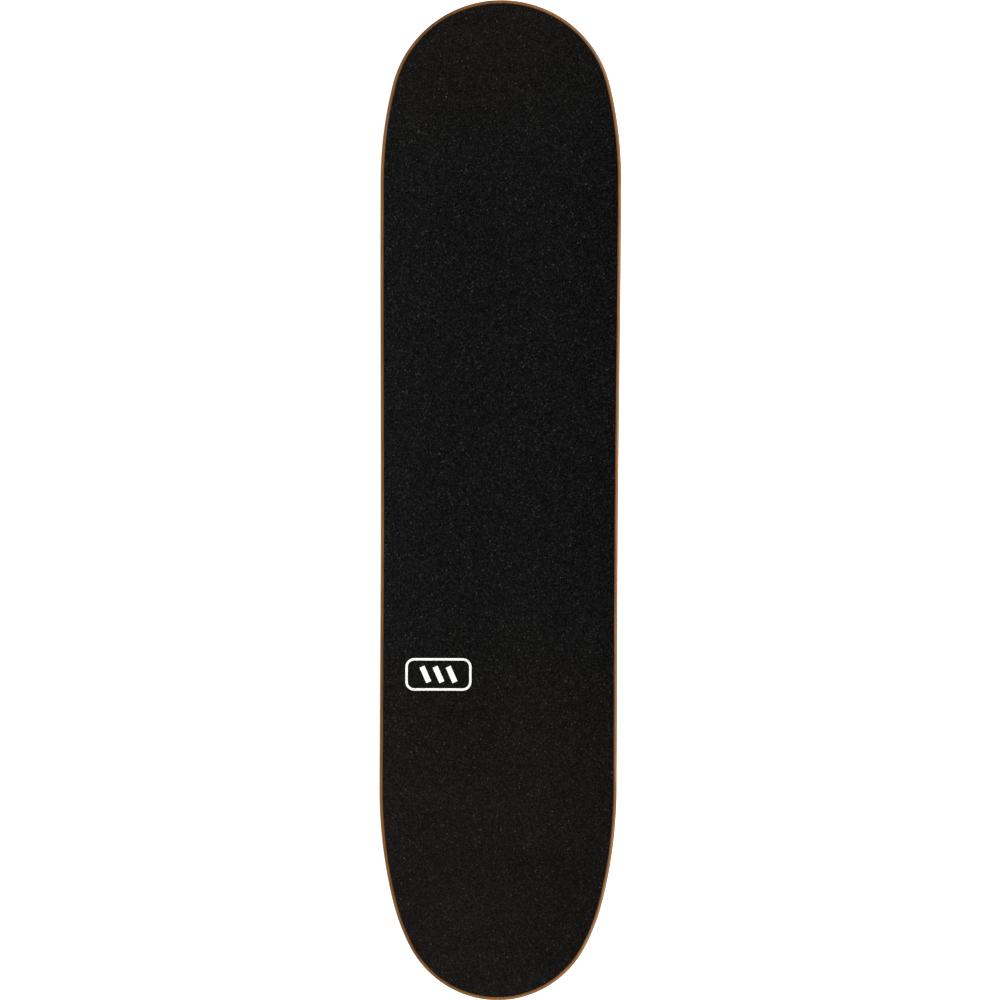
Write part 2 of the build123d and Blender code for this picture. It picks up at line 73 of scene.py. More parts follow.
# ---- the deck's shape ----
EDGE_ROUND = 2.8 * MM
GRIP_THICKNESS = 0.9 * MM
NOSE_HALF_WIDTH = 96.8 * MM
WAIST_HALF_WIDTH = 95.25 * MM
TAIL_HALF_WIDTH = 95.4 * MM
WAIST_X = -60 * MM
# each end is a tip arc and a shoulder arc, with radius and the angle where it stops, then a flank
NOSE_ARCS = ((92.5 * MM, 18.6), (88.5 * MM, 75.6))
TAIL_ARCS = ((79.5 * MM, 62.0), (162.0 * MM, 75.3))
CONCAVE_FLAT_HALF = 28 * MM
CONCAVE_RADIUS = 240 * MM
KICK_RADIUS = 130 * MM
KICK_FROM_AXLE = 38.99 * MM
# each kick is its direction along the board, where it starts, and how far it bends up
NOSE_KICK = (1, axle_centre("front").x + KICK_FROM_AXLE, radians(21))
TAIL_KICK = (-1, -axle_centre("rear").x + KICK_FROM_AXLE, radians(20))
END_STEPS = 64
SIDE_STEPS = 48
CROSS_STEPS = 56
SHEET_SHARP = 50


def end_outline(angle, half_width, arcs, inset):
    """The point of one end's outline where its normal is at that angle from the board's long axis."""
    (tip_radius, tip_angle), (shoulder_radius, shoulder_angle) = arcs
    tip_radius -= inset
    shoulder_radius -= inset
    tip_angle, shoulder_angle = radians(tip_angle), radians(shoulder_angle)
    centre_x, centre_y, radius = HALF_LENGTH - inset - tip_radius, 0.0, tip_radius
    if angle > tip_angle:
        centre_x += (radius - shoulder_radius) * cos(tip_angle)
        centre_y += (radius - shoulder_radius) * sin(tip_angle)
        radius = shoulder_radius
    if angle > shoulder_angle:
        reach = half_width - inset - centre_y - radius * sin(shoulder_angle)
        flank_radius = reach / (1 - sin(shoulder_angle))
        centre_x += (radius - flank_radius) * cos(shoulder_angle)
        centre_y += (radius - flank_radius) * sin(shoulder_angle)
        radius = flank_radius
    return centre_x + radius * cos(angle), centre_y + radius * sin(angle)


def side_half_width(x, nose_x, tail_x):
    """The half width between the two ends, where the sides draw in a little at the waist."""
    end_x, end_width = (nose_x, NOSE_HALF_WIDTH) if x > WAIST_X else (tail_x, TAIL_HALF_WIDTH)
    share = (x - WAIST_X) / (end_x - WAIST_X)
    return WAIST_HALF_WIDTH + (end_width - WAIST_HALF_WIDTH) * share * share * (3 - 2 * share)


def station(column, inset):
    """(x, half width) of the outline at one of the deck's cross lines, counted from the tail."""
    last = 2 * END_STEPS + SIDE_STEPS
    if column <= END_STEPS:
        x, width = end_outline(pi / 2 * column / END_STEPS, TAIL_HALF_WIDTH, TAIL_ARCS, inset)
        return -x, width
    if column >= last - END_STEPS:
        return end_outline(pi / 2 * (last - column) / END_STEPS, NOSE_HALF_WIDTH, NOSE_ARCS, inset)
    tail_x = -end_outline(pi / 2, TAIL_HALF_WIDTH, TAIL_ARCS, inset)[0]
    nose_x = end_outline(pi / 2, NOSE_HALF_WIDTH, NOSE_ARCS, inset)[0]
    x = tail_x + (nose_x - tail_x) * (column - END_STEPS) / SIDE_STEPS
    return x, side_half_width(x, nose_x, tail_x) - inset


def sheet_height(x, y, level):
    """The height of a pressed sheet that lies level above the deck's underside."""
    beyond = max(0.0, abs(y) - CONCAVE_FLAT_HALF)
    rise = level + CONCAVE_RADIUS - sqrt(CONCAVE_RADIUS ** 2 - beyond ** 2)
    for direction, start, angle in (NOSE_KICK, TAIL_KICK):
        past = direction * x - start
        radius = KICK_RADIUS - rise
        if past > radius * sin(angle):
            rise = KICK_RADIUS - radius * cos(angle) + (past - radius * sin(angle)) * tan(angle)
        elif past > 0:
            rise = KICK_RADIUS - sqrt(radius ** 2 - past ** 2)
    return DECK_BOTTOM + rise


def edge_inset(depth):
    """How far the rounded edge draws in at a depth below the deck's top."""
    from_face = min(depth, DECK_THICKNESS - depth)
    if from_face >= EDGE_ROUND:
        return 0.0
    return EDGE_ROUND - sqrt(EDGE_ROUND ** 2 - (EDGE_ROUND - from_face) ** 2)


# ---- mesh helpers ----
def finished(name, bm, body, material, replaces=(), sharp=35):
    """Turns a bmesh into a piece that rides on a body.

    Its faces are smooth, and corners of more than sharp degrees are kept."""
    mesh = bpy.data.meshes.new(name)
    bm.to_mesh(mesh)
    bm.free()
    mesh.shade_smooth()
    mesh.set_sharp_from_angle(angle=radians(sharp))
    mesh.materials.append(material)
    piece = bpy.data.objects.new(name, mesh)
    bpy.context.scene.collection.objects.link(piece)
    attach(piece, body)
    if replaces:
        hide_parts(*replaces)
    return piece


def sheet_mesh(levels, insets, shift=0.0):
    """A closed pressed sheet with one ring round its edge at each level, lowest level first.

    Its UV map is its plan in metres, shifted along the board so that no two sheets share a pattern."""
    columns = 2 * END_STEPS + SIDE_STEPS
    bm = bmesh.new()
    bmesh.ops.create_grid(bm, x_segments=columns, y_segments=CROSS_STEPS, size=1)
    top = list(bm.faces)
    for layer in range(1, len(levels)):
        covered = top
        raised = bmesh.ops.extrude_face_region(bm, geom=covered)["geom"]
        top = [item for item in raised if isinstance(item, bmesh.types.BMFace)]
        verts = [item for item in raised if isinstance(item, bmesh.types.BMVert)]
        bmesh.ops.translate(bm, verts=verts, vec=(0, 0, 1))
        if layer > 1:
            bmesh.ops.delete(bm, geom=covered, context="FACES")
    for vert in bm.verts:
        layer = round(vert.co.z)
        across = sin(vert.co.y * pi / 2)
        x, half_width = station(round((vert.co.x + 1) / 2 * columns), insets[layer])
        y = across * half_width
        vert.co = (x, y, sheet_height(x, y, levels[layer]))
    bmesh.ops.remove_doubles(bm, verts=bm.verts, dist=1e-7)
    bmesh.ops.recalc_face_normals(bm, faces=bm.faces)
    plan = bm.loops.layers.uv.new("plan")
    for face in bm.faces:
        for loop in face.loops:
            loop[plan].uv = (loop.vert.co.x + shift, loop.vert.co.y)
    return bm


def turned_mesh(profile, place, steps, softened=0.0):
    """A profile of (radius, height) in mm spun about the Z axis of a place, with rounded corners."""
    bm = bmesh.new()
    verts = [bm.verts.new((radius * MM, 0, height * MM)) for radius, height in profile]
    edges = [bm.edges.new(pair) for pair in zip(verts, verts[1:] + verts[:1])]
    bmesh.ops.spin(bm, geom=verts + edges, cent=(0, 0, 0), axis=(0, 0, 1), angle=2 * pi,
                   steps=steps, use_merge=True, use_duplicate=False)
    bmesh.ops.remove_doubles(bm, verts=bm.verts, dist=1e-7)
    bmesh.ops.recalc_face_normals(bm, faces=bm.faces)
    if softened:
        soften(bm, softened * MM)
    bmesh.ops.transform(bm, matrix=place, verts=bm.verts)
    return bm


def soften(bm, width):
    """Rounds every real corner, and leaves the shallow ones that only make up a curve."""
    least_angle = radians(28)
    corners = [edge for edge in bm.edges
               if edge.is_manifold and edge.calc_face_angle(0) > least_angle]
    bmesh.ops.bevel(bm, geom=corners, offset=width, offset_type="OFFSET", segments=2,
                    profile=0.5, affect="EDGES", clamp_overlap=True, material=-1)


def cad_copy(node):
    """The CAD node's shape as a welded bmesh."""
    weld = 0.002 * MM
    bm = bmesh.new()
    bm.from_mesh(frame["nodes"][node].data)
    bmesh.ops.remove_doubles(bm, verts=bm.verts, dist=weld)
    return bm


# ---- materials ----
def linear(hex_colour):
    """An sRGB hex colour as linear RGBA."""
    def channel(value):
        return value / 12.92 if value <= 0.04045 else ((value + 0.055) / 1.055) ** 2.4
    return tuple(channel(int(hex_colour[i:i + 2], 16) / 255) for i in (1, 3, 5)) + (1.0,)


def add(nodes, kind, settings=None, links=None, stops=()):
    """Adds a node with its settings, its links, and its (position, colour) stops if it is a ramp."""
    node = nodes.new(kind)
    for key, value in (settings or {}).items():
        if isinstance(key, str) and hasattr(node, key):
            setattr(node, key, value)
        else:
            node.inputs[key].default_value = value
    for key, source in (links or {}).items():
        nodes.id_data.links.new(source, node.inputs[key])
    for number, (position, colour) in enumerate(stops):
        elements = node.color_ramp.elements
        element = elements[number] if number < len(elements) else elements.new(position)
        element.position = position
        element.color = linear(colour)
    return node


def new_material(name):
    material = bpy.data.materials.new(name)
    material.use_nodes = True
    nodes = material.node_tree.nodes
    nodes.clear()
    return material, nodes


def finish_material(nodes, settings, links):
    shader = add(nodes, "ShaderNodeBsdfPrincipled", settings, links)
    add(nodes, "ShaderNodeOutputMaterial", links={"Surface": shader.outputs[0]})


def per_mm(size):
    """A texture scale whose pattern repeats at about that many millimetres."""
    return 1000.0 / size


def griptape_material():
    """Silicon carbide grit glued on black paper: nearly black, with a fine even speckle of grains in
    random tones, and painted glints on the brightest of them.
    """
    material, nodes = new_material("silicon carbide griptape")
    place = add(nodes, "ShaderNodeTexCoord").outputs["Object"]
    # the grit is about 0.2 mm, and it is drawn at 0.8 mm so that its speckle shows from across a room
    grit = add(nodes, "ShaderNodeTexVoronoi", {"Scale": per_mm(0.8)}, {"Vector": place})
    lots = add(nodes, "ShaderNodeSeparateColor", links={0: grit.outputs["Color"]})
    # each grain gets its own random tone; the two brightest stops are painted glints off flat grains, not
    # grain colour
    shade = add(nodes, "ShaderNodeValToRGB", links={0: lots.outputs[0]},
                stops=[(0.0, "#010101"), (0.5, "#080808"), (0.9, "#151515"), (0.99, "#212121"),
                       (1.0, "#3A3A38")])
    # handling leaves a little brown dust near the ends, in clouds about a hand wide
    clouds = add(nodes, "ShaderNodeTexNoise", {"Scale": per_mm(90), "Detail": 4.0, "Roughness": 0.6},
                 {"Vector": place})
    length = add(nodes, "ShaderNodeSeparateXYZ", links={0: place})
    towards_tail = add(nodes, "ShaderNodeMapRange",
                       {"From Min": -0.05, "From Max": -0.4, "To Max": 0.5},
                       {"Value": length.outputs[0]})
    towards_nose = add(nodes, "ShaderNodeMapRange",
                       {"From Min": 0.25, "From Max": 0.42, "To Max": 0.28},
                       {"Value": length.outputs[0]})
    ends = add(nodes, "ShaderNodeMath", {"operation": "ADD"},
               {0: towards_tail.outputs[0], 1: towards_nose.outputs[0]})
    # each grain holds its own share of it
    held = add(nodes, "ShaderNodeMath", {"operation": "MULTIPLY"},
               {0: lots.outputs[2], 1: ends.outputs[0]})
    amount = add(nodes, "ShaderNodeMath", {"operation": "MULTIPLY"},
                 {0: clouds.outputs["Fac"], 1: held.outputs[0]})
    dusty = add(nodes, "ShaderNodeMix", {"data_type": "RGBA", 7: linear("#33291F")},
                {0: amount.outputs[0], 6: shade.outputs[0]})
    rough = add(nodes, "ShaderNodeMapRange", {"To Min": 0.5, "To Max": 0.9},
                {"Value": lots.outputs[1]})
    bumps = add(nodes, "ShaderNodeTexNoise", {"Scale": per_mm(0.7), "Detail": 4.0, "Roughness": 0.7},
                {"Vector": place})
    bump = add(nodes, "ShaderNodeBump", {"Strength": 0.8, "Distance": 0.3 * MM},
               {"Height": bumps.outputs["Fac"]})
    finish_material(nodes, {"Specular IOR Level": 0.03},
                    {"Base Color": dusty.outputs[2], "Roughness": rough.outputs[0],
                     "Normal": bump.outputs[0]})
    return material


def veneer_material(name, light, dark, crosswise):
    """Peeled maple, glued in a press and lacquered: soft bands with short fine pores along the grain."""
    material, nodes = new_material(name)
    place = add(nodes, "ShaderNodeUVMap", {"uv_map": "plan"}).outputs["UV"]
    # a band is 8 to 20 mm wide and a pore line 0.6 mm, and both run on for many times that
    band_scale, pore_scale, pore_strength = (1.0, 9.0, 1.0), (1.0, 40.0, 1.0), 0.8
    if crosswise:
        band_scale, pore_scale, pore_strength = (9.0, 1.0, 1.0), (40.0, 1.0, 1.0), 0.3
    band_place = add(nodes, "ShaderNodeMapping", {"Scale": band_scale}, {"Vector": place})
    pore_place = add(nodes, "ShaderNodeMapping", {"Scale": pore_scale}, {"Vector": place})
    bands = add(nodes, "ShaderNodeTexNoise", {"Scale": per_mm(170), "Detail": 4.0, "Distortion": 1.4},
                {"Vector": band_place.outputs[0]})
    pores = add(nodes, "ShaderNodeTexNoise", {"Scale": per_mm(26), "Detail": 5.0, "Roughness": 0.65},
                {"Vector": pore_place.outputs[0]})
    band_colour = add(nodes, "ShaderNodeValToRGB", links={0: bands.outputs["Fac"]},
                      stops=[(0.32, dark), (0.64, light)])
    pore_shade = add(nodes, "ShaderNodeValToRGB", links={0: pores.outputs["Fac"]},
                     stops=[(0.36, "#B4ACA4"), (0.58, "#FFFFFF")])
    colour = add(nodes, "ShaderNodeMix", {"data_type": "RGBA", "blend_type": "MULTIPLY", 0: pore_strength},
                 {6: band_colour.outputs[0], 7: pore_shade.outputs[0]})
    rough = add(nodes, "ShaderNodeMapRange", {"To Min": 0.34, "To Max": 0.56},
                {"Value": bands.outputs["Fac"]})
    bump = add(nodes, "ShaderNodeBump", {"Strength": 0.15, "Distance": 0.2 * MM},
               {"Height": pores.outputs["Fac"]})
    finish_material(nodes, {"Coat Weight": 0.1, "Coat Roughness": 0.2, "Specular IOR Level": 0.3},
                    {"Base Color": colour.outputs[2], "Roughness": rough.outputs[0],
                     "Normal": bump.outputs[0]})
    return material


def metal_material(name, colour, shade, roughness, grain_mm, bump_strength):
    """Bare metal with a fine surface grain that spreads its highlights unevenly."""
    material, nodes = new_material(name)
    place = add(nodes, "ShaderNodeTexCoord").outputs["Object"]
    grain = add(nodes, "ShaderNodeTexNoise", {"Scale": per_mm(grain_mm), "Detail": 4.0},
                {"Vector": place})
    cloud = add(nodes, "ShaderNodeTexNoise", {"Scale": per_mm(14), "Detail": 3.0},
                {"Vector": place})
    tint = add(nodes, "ShaderNodeValToRGB", links={0: cloud.outputs["Fac"]},
               stops=[(0.35, shade), (0.65, colour)])
    rough = add(nodes, "ShaderNodeMapRange", {"To Min": roughness * 0.88, "To Max": roughness * 1.15},
                {"Value": grain.outputs["Fac"]})
    bump = add(nodes, "ShaderNodeBump", {"Strength": bump_strength, "Distance": 0.1 * MM},
               {"Height": grain.outputs["Fac"]})
    finish_material(nodes, {"Metallic": 1.0},
                    {"Base Color": tint.outputs[0], "Roughness": rough.outputs[0],
                     "Normal": bump.outputs[0]})
    return material


def moulded_material(name, colour, shade, roughness, subsurface, depth_mm):
    """A poured or moulded plastic with faint mottling and some light inside it."""
    material, nodes = new_material(name)
    place = add(nodes, "ShaderNodeTexCoord").outputs["Object"]
    cloud = add(nodes, "ShaderNodeTexNoise", {"Scale": per_mm(9), "Detail": 4.0}, {"Vector": place})
    fine = add(nodes, "ShaderNodeTexNoise", {"Scale": per_mm(0.8), "Detail": 3.0},
               {"Vector": place})
    tint = add(nodes, "ShaderNodeValToRGB", links={0: cloud.outputs["Fac"]},
               stops=[(0.35, shade), (0.65, colour)])
    rough = add(nodes, "ShaderNodeMapRange", {"To Min": roughness * 0.8, "To Max": roughness * 1.25},
                {"Value": cloud.outputs["Fac"]})
    bump = add(nodes, "ShaderNodeBump", {"Strength": 0.15, "Distance": 0.1 * MM},
               {"Height": fine.outputs["Fac"]})
    finish_material(nodes, {"Subsurface Weight": subsurface, "Subsurface Radius": (1.0, 0.8, 0.6),
                            "Subsurface Scale": depth_mm * MM},
                    {"Base Color": tint.outputs[0], "Roughness": rough.outputs[0],
                     "Normal": bump.outputs[0]})
    return material


def print_material():
    """White ink screen-printed on grit: matte, a little broken where the grit pokes through."""
    material, nodes = new_material("white screen print")
    place = add(nodes, "ShaderNodeTexCoord").outputs["Object"]
    grit = add(nodes, "ShaderNodeTexNoise", {"Scale": per_mm(1.0), "Detail": 2.0}, {"Vector": place})
    colour = add(nodes, "ShaderNodeValToRGB", links={0: grit.outputs["Fac"]},
                 stops=[(0.28, "#A9A9A7"), (0.5, "#F0F0EE")])
    bump = add(nodes, "ShaderNodeBump", {"Strength": 0.5, "Distance": 0.2 * MM},
               {"Height": grit.outputs["Fac"]})
    finish_material(nodes, {"Roughness": 0.8},
                    {"Base Color": colour.outputs[0], "Normal": bump.outputs[0]})
    return material


griptape = griptape_material()
white_print = print_material()

# rotary-cut maple under thin lacquer: amber stain on top, pale faces, darker where it runs crosswise
top_veneer = veneer_material("amber stained maple veneer", "#83541B", "#663F14", crosswise=False)
long_veneer = veneer_material("maple veneer", "#C3965C", "#BA8C52", crosswise=False)
cross_veneer = veneer_material("crosswise maple veneer", "#96622F", "#8C5929", crosswise=True)
bottom_veneer = veneer_material("lacquered maple face veneer", "#D0A066", "#B98449", crosswise=False)

# bare metals: a soft even grey from tumbling, a bright skin from plating, near black from the oxide
# bath, and a mirror-like ring from grinding
cast_aluminium = metal_material("tumbled cast aluminium", "#C9C9C9", "#B4B5B7",
                                roughness=0.34, grain_mm=0.6, bump_strength=0.35)
zinc_steel = metal_material("zinc-plated steel", "#C2C4C8", "#B6B9BE",
                            roughness=0.26, grain_mm=0.9, bump_strength=0.04)
black_steel = metal_material("black oxide steel", "#2E2E30", "#242426",
                             roughness=0.42, grain_mm=0.9, bump_strength=0.05)
bearing_steel = metal_material("ground bearing steel", "#D0D1D3", "#C2C4C8",
                               roughness=0.16, grain_mm=0.3, bump_strength=0.05)

# plastics: enamel and the pivot cup take no light in, nylon and urethane let a little of it through
shield_enamel = moulded_material("black bearing shield", "#18181A", "#101012",
                                 roughness=0.35, subsurface=0.0, depth_mm=1)
nylon = moulded_material("white nylon", "#DAD8CE", "#CBC8BC",
                         roughness=0.5, subsurface=0.2, depth_mm=1)
bushing_urethane = moulded_material("red bushing urethane", "#B3261C", "#9C1F17",
                                    roughness=0.34, subsurface=0.35, depth_mm=4)
cup_urethane = moulded_material("black pivot cup urethane", "#1A1A1A", "#121212",
                                roughness=0.5, subsurface=0.0, depth_mm=1)
wheel_urethane = moulded_material("white wheel urethane", "#C2BCAC", "#BCB5A4",
                                  roughness=0.38, subsurface=0.2, depth_mm=5)


# ---- deck ----
def build_plies():
    round_steps = 8
    pattern_shift = 1.37
    finishes = {1: top_veneer, 3: cross_veneer, 5: cross_veneer, 7: bottom_veneer}
    for number in range(1, PLY_COUNT + 1):
        rounded = number in (1, 2, PLY_COUNT - 1, PLY_COUNT)
        steps = round_steps if rounded else 1
        lowest = (PLY_COUNT - number) * PLY
        levels = [lowest + PLY * step / steps for step in range(steps + 1)]
        insets = [edge_inset(DECK_THICKNESS - level) for level in levels]
        name = f"ply_{number}"
        bm = sheet_mesh(levels, insets, pattern_shift * number)
        finished(f"{name}_veneer", bm, "deck", finishes.get(number, long_veneer),
                 [name], sharp=SHEET_SHARP)


def build_grip():
    corner = 0.25 * MM
    top = DECK_THICKNESS + GRIP_THICKNESS
    levels = [DECK_THICKNESS, top - corner, top]
    insets = [EDGE_ROUND, EDGE_ROUND, EDGE_ROUND + corner]
    finished("grip_sheet", sheet_mesh(levels, insets), "deck", griptape,
             ["grip_tape"], sharp=SHEET_SHARP)


BADGE_CENTRE = Vector((-140 * MM, 48.4 * MM))
BADGE_WIDTH = 53 * MM
BADGE_HEIGHT = 26 * MM
BADGE_CORNER = 7 * MM
BADGE_LINE = 1.8 * MM
BADGE_BAR = (13.5 * MM, 4.2 * MM)
BADGE_BAR_STEP = 10.5 * MM
BADGE_BAR_SLANT = radians(24)
INK_CLEARANCE = 0.09 * MM
INK_THICKNESS = 0.05 * MM


def print_bar(bm, y):
    """A slanted flat bar of ink, finely divided so that it can follow the sheet."""
    length, width = BADGE_BAR
    made = bmesh.ops.create_grid(bm, x_segments=24, y_segments=2, size=0.5)["verts"]
    spot = Matrix.Translation((0, y, 0)) @ Matrix.Rotation(BADGE_BAR_SLANT, 4, "Z")
    bmesh.ops.transform(bm, matrix=spot @ Matrix.Diagonal((length, width, 1, 1)), verts=made)


def build_badge():
    """A plain outlined plaque with three slanted bars, printed near the tail end of the left side."""
    bm = bmesh.new()
    plaque = bmesh.ops.create_grid(bm, x_segments=1, y_segments=1, size=0.5)["verts"]
    bmesh.ops.scale(bm, vec=(BADGE_HEIGHT, BADGE_WIDTH, 1), verts=plaque)
    bmesh.ops.bevel(bm, geom=plaque, offset=BADGE_CORNER, segments=8, profile=0.5,
                    affect="VERTICES", clamp_overlap=True, material=-1)
    outline = bmesh.ops.inset_region(bm, faces=bm.faces, thickness=BADGE_LINE, use_boundary=True,
                                     use_even_offset=True)["faces"]
    inside = [face for face in bm.faces if face not in outline]
    bmesh.ops.delete(bm, geom=inside, context="FACES")
    for step in (-1, 0, 1):
        print_bar(bm, step * BADGE_BAR_STEP)
    too_long = [edge for edge in bm.edges if edge.calc_length() > 4 * MM]
    bmesh.ops.subdivide_edges(bm, edges=too_long, cuts=12, use_grid_fill=True)
    above = DECK_THICKNESS + GRIP_THICKNESS + INK_CLEARANCE
    for vert in bm.verts:
        x, y = vert.co.xy + BADGE_CENTRE
        vert.co = (x, y, sheet_height(x, y, above))
    bmesh.ops.solidify(bm, geom=bm.faces, thickness=INK_THICKNESS)
    bmesh.ops.recalc_face_normals(bm, faces=bm.faces)
    finished("grip_print", bm, "deck", white_print)


# ---- trucks ----
def truck_place(end):
    """The truck's own frame: over its axle at the deck's underside, +X towards the board's middle."""
    centre = axle_centre(end)
    turn = pi if end == "front" else 0.0
    return Matrix.Translation((centre.x, 0, DECK_BOTTOM)) @ Matrix.Rotation(turn, 4, "Z")


# the kingpin's own frame, whose Z axis runs down along it from the deck's underside
KINGPIN_FOOT = 12 * MM
KINGPIN_LEAN = radians(20)
KINGPIN_FRAME = Matrix.Translation((KINGPIN_FOOT, 0, 0)) @ Matrix.Rotation(pi - KINGPIN_LEAN, 4, "Y")

# sizes about the kingpin, in millimetres
BUSHING_BORE = 4.9
BUSHING_SPIGOT = 11.6
BOTTOM_WASHER_END = 15.4
RING_TOP = 27.4
RING_BOTTOM = 37.4
RING_RECESS = 2.0
RING_CLEARANCE = 0.02
TOP_BUSHING_END = 46.4
KINGPIN_NUT_END = 57.4


def casting(end, part, body, voxel):
    """A CAD casting with every inner corner blended and every edge rounded, as a mould leaves it."""
    node = f"{end}_{part}"
    bm = cad_copy(node)
    mesh = bpy.data.meshes.new("rough_casting")
    bm.to_mesh(mesh)
    bm.free()
    rough = bpy.data.objects.new("rough_casting", mesh)
    bpy.context.scene.collection.objects.link(rough)
    remesh = rough.modifiers.new("remesh", "REMESH")
    remesh.mode = "VOXEL"
    remesh.voxel_size = voxel
    smooth = rough.modifiers.new("smooth", "SMOOTH")
    smooth.factor = 0.5
    smooth.iterations = 6
    evaluated = rough.evaluated_get(bpy.context.evaluated_depsgraph_get())
    smoothed = bpy.data.meshes.new_from_object(evaluated)
    bpy.data.objects.remove(rough)
    bm = bmesh.new()
    bm.from_mesh(smoothed)
    bpy.data.meshes.remove(smoothed)
    finished(f"{node}_casting", bm, body, cast_aluminium, [node], sharp=70)


def build_bushings(end):
    """A squeezed barrel over the hanger's ring and a squeezed cone under it, set into its recesses."""
    place = truck_place(end) @ KINGPIN_FRAME
    foot = BOTTOM_WASHER_END
    ring_face = RING_TOP - RING_CLEARANCE
    spigot_end = ring_face + RING_RECESS
    barrel = [(BUSHING_BORE, foot), (11.8, foot), (13.1, 16.4), (13.55, 18.5), (13.6, 21.4),
              (13.55, 24.3), (13.1, 26.4), (12.2, ring_face), (BUSHING_SPIGOT, ring_face),
              (BUSHING_SPIGOT, spigot_end), (BUSHING_BORE, spigot_end)]
    ring_face = RING_BOTTOM + RING_CLEARANCE
    spigot_end = ring_face - RING_RECESS
    cone = [(BUSHING_BORE, spigot_end), (BUSHING_SPIGOT, spigot_end), (BUSHING_SPIGOT, ring_face),
            (12.0, ring_face), (12.4, 38.4), (12.2, 40.0), (9.6, 45.4), (8.8, TOP_BUSHING_END),
            (BUSHING_BORE, TOP_BUSHING_END)]
    for name, profile in (("bottom_bushing", barrel), ("top_bushing", cone)):
        node = f"{end}_{name}"
        bm = turned_mesh(profile, place, steps=80, softened=0.15)
        finished(f"{node}_urethane", bm, "deck", bushing_urethane, [node], sharp=40)


def insert_ring(bm, inside, outside, start, height, place):
    """Adds a ring with chamfered outer corners about the Z axis of a place, sized in millimetres."""
    half, stop = height / 2, start + height
    profile = [(inside, start), (outside, start), (outside, start + half), (outside - half / 2, stop),
               (inside + half / 2, stop), (inside, start + half)]
    made = turned_mesh(profile, place, steps=48)
    mesh = bpy.data.meshes.new("insert_ring")
    made.to_mesh(mesh)
    made.free()
    bm.from_mesh(mesh)
    bpy.data.meshes.remove(mesh)


# the nylon rings in the lock nuts, in millimetres: inside, outside, start and height
AXLE_INSERT = (4.0, 4.9, 94.6, 0.55)
KINGPIN_INSERT = (4.72, 5.6, KINGPIN_NUT_END - 0.4, 0.55)
DECK_NUT_INSERT = (2.42, 3.5, 11.7, 0.4)
BOLT_SPACING_HALF_LENGTH = 26.99 * MM
BOLT_SPACING_HALF_WIDTH = 20.64 * MM


def build_nut_inserts(end):
    """The nylon rings held in the collars of the lock nuts."""
    centre = Matrix.Translation(axle_centre(end))
    bm = bmesh.new()
    for turn in (-pi / 2, pi / 2):
        insert_ring(bm, *AXLE_INSERT, centre @ Matrix.Rotation(turn, 4, "X"))
    finished(f"{end}_axle_nut_inserts", bm, f"{end}_hanger", nylon)
    bm = bmesh.new()
    insert_ring(bm, *KINGPIN_INSERT, truck_place(end) @ KINGPIN_FRAME)
    finished(f"{end}_kingpin_nut_insert", bm, "deck", nylon)
    bm = bmesh.new()
    downwards = Matrix.Rotation(pi, 4, "X")
    for x in (-BOLT_SPACING_HALF_LENGTH, BOLT_SPACING_HALF_LENGTH):
        for y in (-BOLT_SPACING_HALF_WIDTH, BOLT_SPACING_HALF_WIDTH):
            insert_ring(bm, *DECK_NUT_INSERT, truck_place(end) @ Matrix.Translation((x, y, 0)) @ downwards)
    finished(f"{end}_deck_nut_inserts", bm, "deck", nylon)


# the wheel, in millimetres from its middle
WHEEL_RADIUS = 26.0
WHEEL_HALF_WIDTH = 16.0
WHEEL_LIP = 7.0
WHEEL_BORE = 9.8
BEARING_SEAT_RADIUS = 11.02
BEARING_SEAT_START = 5.0
BEARING_SEAT_END = 12.6


def build_wheel(end, side):
    name = f"{end}_{side}_wheel"
    centre = Vector(joints[f"{name}_spin"]["pos_m"])
    place = Matrix.Translation(centre) @ Matrix.Rotation(-pi / 2, 4, "X")
    seat = [(WHEEL_BORE, BEARING_SEAT_START), (BEARING_SEAT_RADIUS, BEARING_SEAT_START),
            (BEARING_SEAT_RADIUS, BEARING_SEAT_END)]
    dished_face = [(12.2, 13.2), (14.0, 14.6), (16.5, 15.75)]
    lip_radius, lip_height = WHEEL_RADIUS - WHEEL_LIP, WHEEL_HALF_WIDTH - WHEEL_LIP
    lip = [(lip_radius + WHEEL_LIP * sin(angle), lip_height + WHEEL_LIP * cos(angle))
           for angle in (radians(10 * step) for step in range(10))]
    upper = seat + dished_face + lip
    profile = upper + [(radius, -height) for radius, height in reversed(upper)]
    bm = turned_mesh(profile, place, steps=128)
    finished(f"{name}_tyre", bm, name, wheel_urethane, [name], sharp=40)


def dress_cad_nodes():
    """Gives every CAD node that stays in view its own finish."""
    finishes = {
        "baseplate": cast_aluminium, "pivot_cup": cup_urethane, "kingpin": zinc_steel,
        "kingpin_nut": zinc_steel, "bottom_washer": zinc_steel, "bottom_bushing": bushing_urethane,
        "top_bushing": bushing_urethane, "top_washer": zinc_steel, "hanger": cast_aluminium,
        "axle": zinc_steel, "axle_nuts": zinc_steel, "speed_washers": zinc_steel,
        "bearing_spacers": zinc_steel, "bearing_inner_rings": bearing_steel, "wheel": wheel_urethane,
        "bearing_outer_rings": bearing_steel, "bearing_shields": shield_enamel,
        "bearing_balls": bearing_steel, "bearing_cages": nylon, "grip_tape": griptape,
        "deck_bolts": black_steel, "deck_nuts": black_steel,
    }
    for name, node in frame["nodes"].items():
        kind = name.split("_", 1)[1] if name.split("_")[0] in ENDS else name
        kind = kind.split("_", 1)[1] if kind.split("_")[0] in SIDES else kind
        material = long_veneer if name.startswith("ply") else finishes[kind]
        node.data.materials.clear()
        node.data.materials.append(material)


